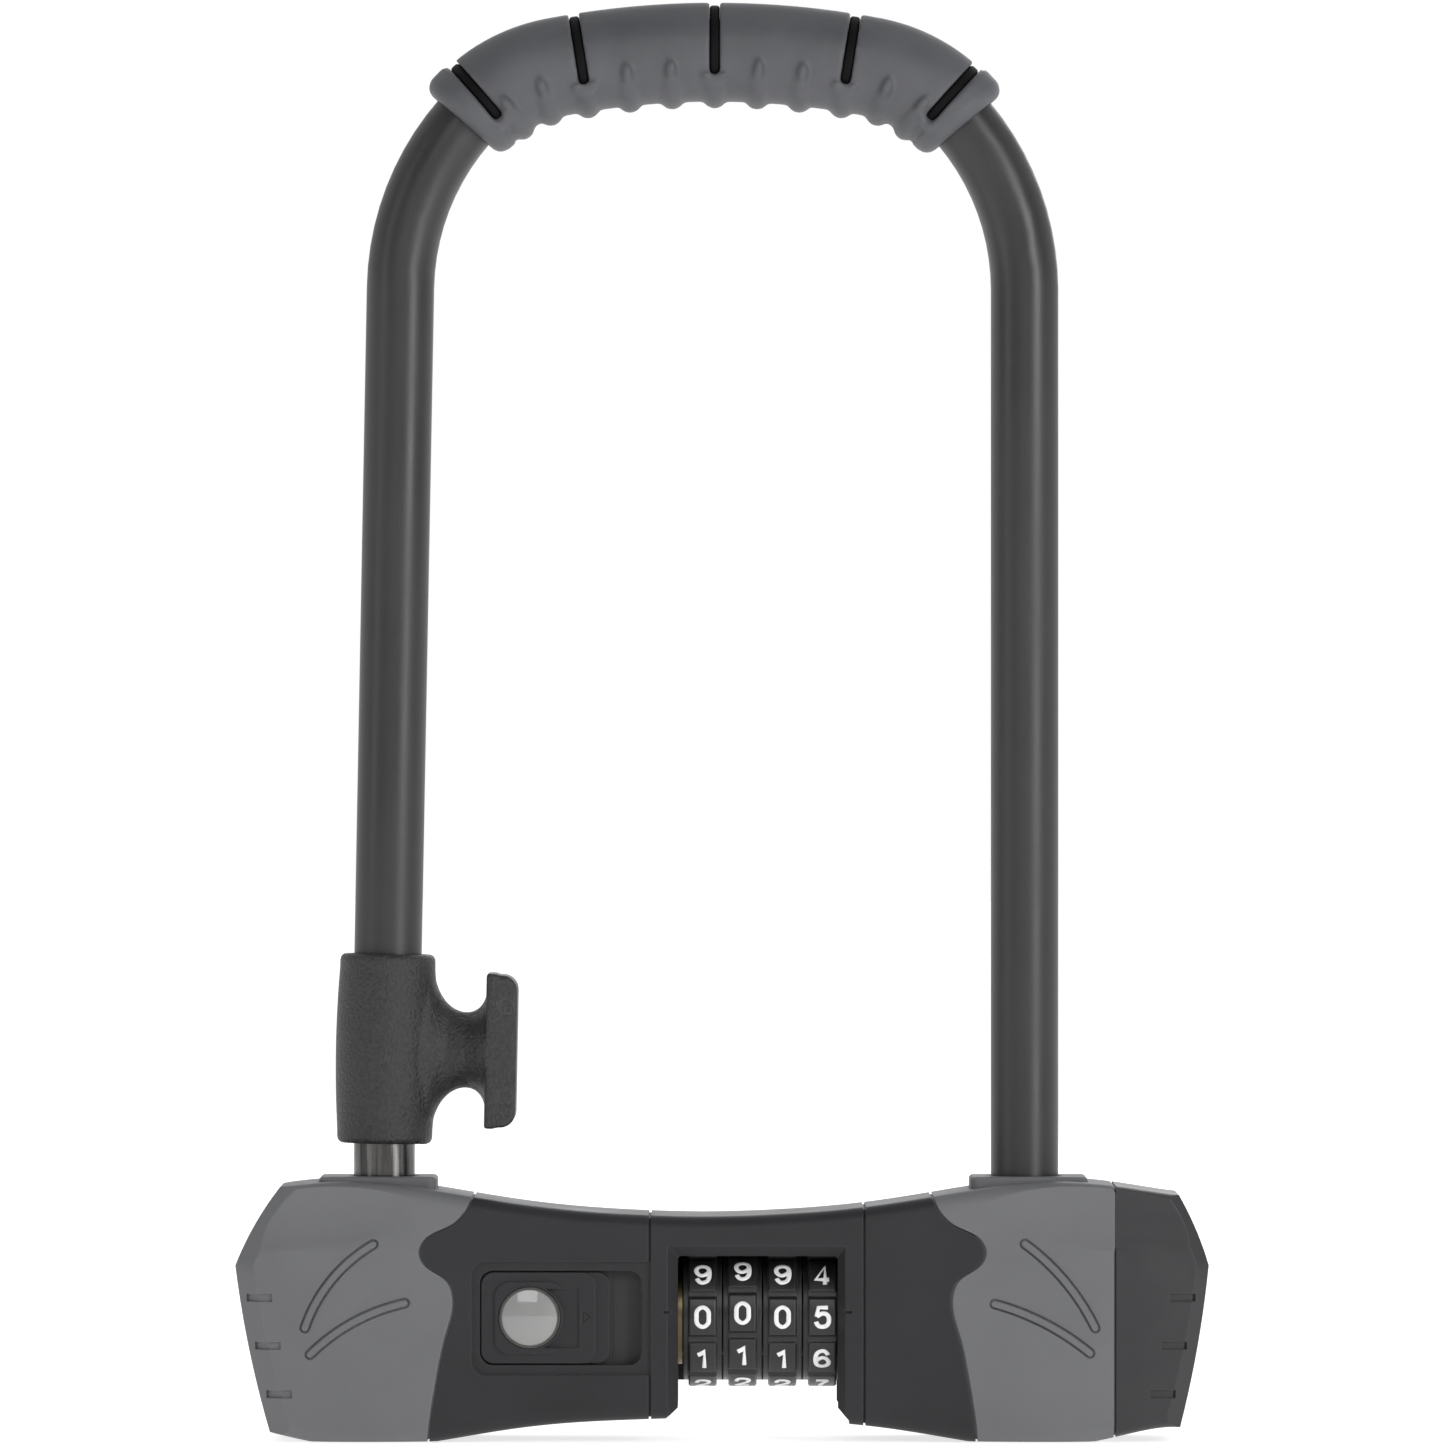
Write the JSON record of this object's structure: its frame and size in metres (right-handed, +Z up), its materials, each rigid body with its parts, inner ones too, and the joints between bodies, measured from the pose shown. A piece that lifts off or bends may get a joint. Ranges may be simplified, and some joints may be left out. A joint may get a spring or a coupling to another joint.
{
  "type": "u lock",
  "caption": "Bicycle U lock: coated steel shackle with a ribbed grip and frame bracket, in a crossbar with number dials and a release slider.",
  "frame": {"origin": "middle of the crossbar's footprint, on the surface that the lock stands on", "axes": "+X across the lock to its capped end, +Y from its front to its back, +Z up along the shackle"},
  "size_m": [0.2052, 0.04, 0.3038],
  "materials": {
    "boot_rubber": "satin soft-touch rubber",
    "casing_black": "fine matt moulded plastic",
    "cap_black": "fine matt moulded plastic",
    "guide_rubber": "satin rubber",
    "rod_steel": "ground hardened steel",
    "coating_vinyl": "satin black vinyl",
    "grip_rubber": "satin moulded rubber",
    "bracket_nylon": "glass-filled black nylon",
    "lock_steel": "machined steel",
    "spring_steel": "spring steel",
    "dial_plastic": "satin black acetal",
    "sleeve_brass": "turned brass",
    "badge_silver": "silver under clear lacquer",
    "badge_rim": "dark bright metal",
    "screw_black": "black zinc"
  },
  "bodies": {
    "crossbar": {"left_boot": "boot_rubber", "right_boot": "boot_rubber", "end_cap": "cap_black", "left_front_cover": "casing_black", "left_rear_cover": "casing_black", "dial_bezel": "casing_black", "centre_rear_cover": "casing_black", "right_front_cover": "casing_black", "right_rear_cover": "casing_black", "left_leg_guide": "guide_rubber", "right_leg_guide": "guide_rubber", "left_lock_block": "lock_steel", "right_lock_block": "lock_steel", "core_tube": "lock_steel", "spring_seat": "sleeve_brass", "thrust_washers": "dial_plastic", "detent_spring": "spring_steel", "slider_tray": "casing_black", "bolt_spring": "spring_steel", "slider_spring": "spring_steel", "set_screws": "screw_black", "cover_screws": "screw_black"},
    "shackle": {"shackle": "rod_steel", "shackle_coating": "coating_vinyl", "shackle_grip": "grip_rubber", "grip_webs": "coating_vinyl"},
    "bracket_liner": {"bracket_liner": "guide_rubber"},
    "bracket": {"bracket_sleeve": "bracket_nylon"},
    "bolt_carriage": {"spindle": "lock_steel", "left_bolt": "lock_steel", "bolt_yoke": "lock_steel", "drive_pin": "lock_steel", "link_spring": "spring_steel"},
    "slider": {"release_slider": "casing_black", "badge_ring": "badge_rim", "badge_dome": "badge_silver"},
    "dial_1": {"dial_1": "dial_plastic", "code_sleeve_1": "sleeve_brass"},
    "dial_2": {"dial_2": "dial_plastic", "code_sleeve_2": "sleeve_brass"},
    "dial_3": {"dial_3": "dial_plastic", "code_sleeve_3": "sleeve_brass"},
    "dial_4": {"dial_4": "dial_plastic", "code_sleeve_4": "sleeve_brass"}
  },
  "joints": [
    {"name": "shackle_lift", "type": "slide", "parent": "crossbar", "child": "shackle", "axis": [0, 0, 1], "range_m": [0, 0.06]},
    {"name": "bracket_slide", "type": "slide", "parent": "shackle", "child": "bracket_liner", "axis": [0.0187, 0, 0.9998], "range_m": [-0.004, 0.12]},
    {"name": "bracket_turn", "type": "hinge", "parent": "bracket_liner", "child": "bracket", "pos_m": [-0.0709, 0, 0.0824], "axis": [0.0187, 0, 0.9998], "continuous": true},
    {"name": "bolt_throw", "type": "slide", "parent": "crossbar", "child": "bolt_carriage", "axis": [1, 0, 0], "range_m": [-0.0045, 0], "deforming": ["bolt_spring", "link_spring"]},
    {"name": "slider_push", "type": "slide", "parent": "crossbar", "child": "slider", "axis": [1, 0, 0], "range_m": [0, 0.0055], "stiffness_N_per_m": 300, "springref_m": -0.003, "deforming": ["slider_spring", "link_spring"]},
    {"name": "dial_1_spin", "type": "hinge", "parent": "crossbar", "child": "dial_1", "pos_m": [-0.0039, 0, 0.0261], "axis": [1, 0, 0], "continuous": true},
    {"name": "dial_2_spin", "type": "hinge", "parent": "crossbar", "child": "dial_2", "pos_m": [0.00452, 0, 0.0261], "axis": [1, 0, 0], "continuous": true},
    {"name": "dial_3_spin", "type": "hinge", "parent": "crossbar", "child": "dial_3", "pos_m": [0.01294, 0, 0.0261], "axis": [1, 0, 0], "continuous": true},
    {"name": "dial_4_spin", "type": "hinge", "parent": "crossbar", "child": "dial_4", "pos_m": [0.02136, 0, 0.0261], "axis": [1, 0, 0], "continuous": true}
  ]
}
